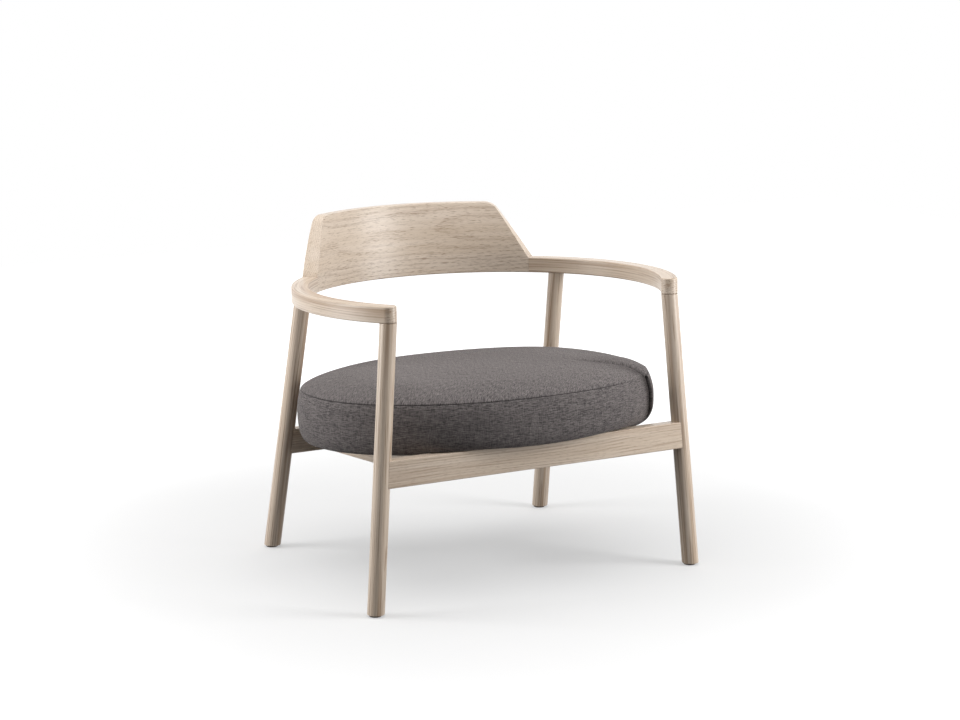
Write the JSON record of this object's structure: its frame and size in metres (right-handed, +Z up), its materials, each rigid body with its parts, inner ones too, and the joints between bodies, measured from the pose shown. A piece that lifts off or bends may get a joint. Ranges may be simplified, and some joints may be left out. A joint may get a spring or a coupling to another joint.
{
  "type": "lounge chair",
  "caption": "Low lounge chair in pale bleached wood, with bent arms joined to a curved backrest, splayed round legs and a thick oval upholstered seat on a tilted frame.",
  "frame": {"origin": "on the floor, under the middle of the chair's outline", "axes": "+Z up, the sitter faces -Y, +X towards the left hand of the sitter, the plane X = 0 halves the chair"},
  "size_m": [0.794, 0.681, 0.7098],
  "materials": {
    "wood": "pale bleached ash, satin, open straight grain that follows each piece",
    "dowel_wood": "plain beech dowels, bare",
    "plywood": "birch plywood, bare",
    "glide_plastic": "dark brown plastic, matt",
    "steel": "zinc plated steel",
    "cover_fabric": "dark grey melange wool weave, matt, with a soft sheen at grazing angles",
    "lining": "thin black non-woven lining",
    "foam": "cut polyurethane foam, pale, matt"
  },
  "bodies": {
    "root": {"leg_front_left": "wood", "leg_front_right": "wood", "leg_rear_left": "wood", "leg_rear_right": "wood", "arm_left": "wood", "arm_right": "wood", "backrest": "wood", "front_rail": "wood", "rear_rail": "wood", "side_rail_left": "wood", "side_rail_right": "wood", "back_dowel_left_upper": "dowel_wood", "back_dowel_left_lower": "dowel_wood", "back_dowel_right_upper": "dowel_wood", "back_dowel_right_lower": "dowel_wood", "leg_dowel_front_left_upper": "dowel_wood", "leg_dowel_front_left_lower": "dowel_wood", "leg_dowel_front_right_upper": "dowel_wood", "leg_dowel_front_right_lower": "dowel_wood", "leg_dowel_rear_left_upper": "dowel_wood", "leg_dowel_rear_left_lower": "dowel_wood", "leg_dowel_rear_right_upper": "dowel_wood", "leg_dowel_rear_right_lower": "dowel_wood", "side_rail_dowel_front_left_upper": "dowel_wood", "side_rail_dowel_front_left_lower": "dowel_wood", "side_rail_dowel_front_right_upper": "dowel_wood", "side_rail_dowel_front_right_lower": "dowel_wood", "side_rail_dowel_rear_left_upper": "dowel_wood", "side_rail_dowel_rear_left_lower": "dowel_wood", "side_rail_dowel_rear_right_upper": "dowel_wood", "side_rail_dowel_rear_right_lower": "dowel_wood", "glide_front_left": "glide_plastic", "glide_front_right": "glide_plastic", "glide_rear_left": "glide_plastic", "glide_rear_right": "glide_plastic", "glide_nail_front_left": "steel", "glide_nail_front_right": "steel", "glide_nail_rear_left": "steel", "glide_nail_rear_right": "steel", "seat_screw_front_left": "steel", "seat_screw_front_right": "steel", "seat_screw_rear_left": "steel", "seat_screw_rear_right": "steel", "tee_nut_front_left": "steel", "tee_nut_front_right": "steel", "tee_nut_rear_left": "steel", "tee_nut_rear_right": "steel", "seat_board": "plywood", "underside_lining": "lining", "seat_foam": "foam", "seat_cover_band": "cover_fabric", "seat_cover_top": "cover_fabric"}
  },
  "joints": []
}
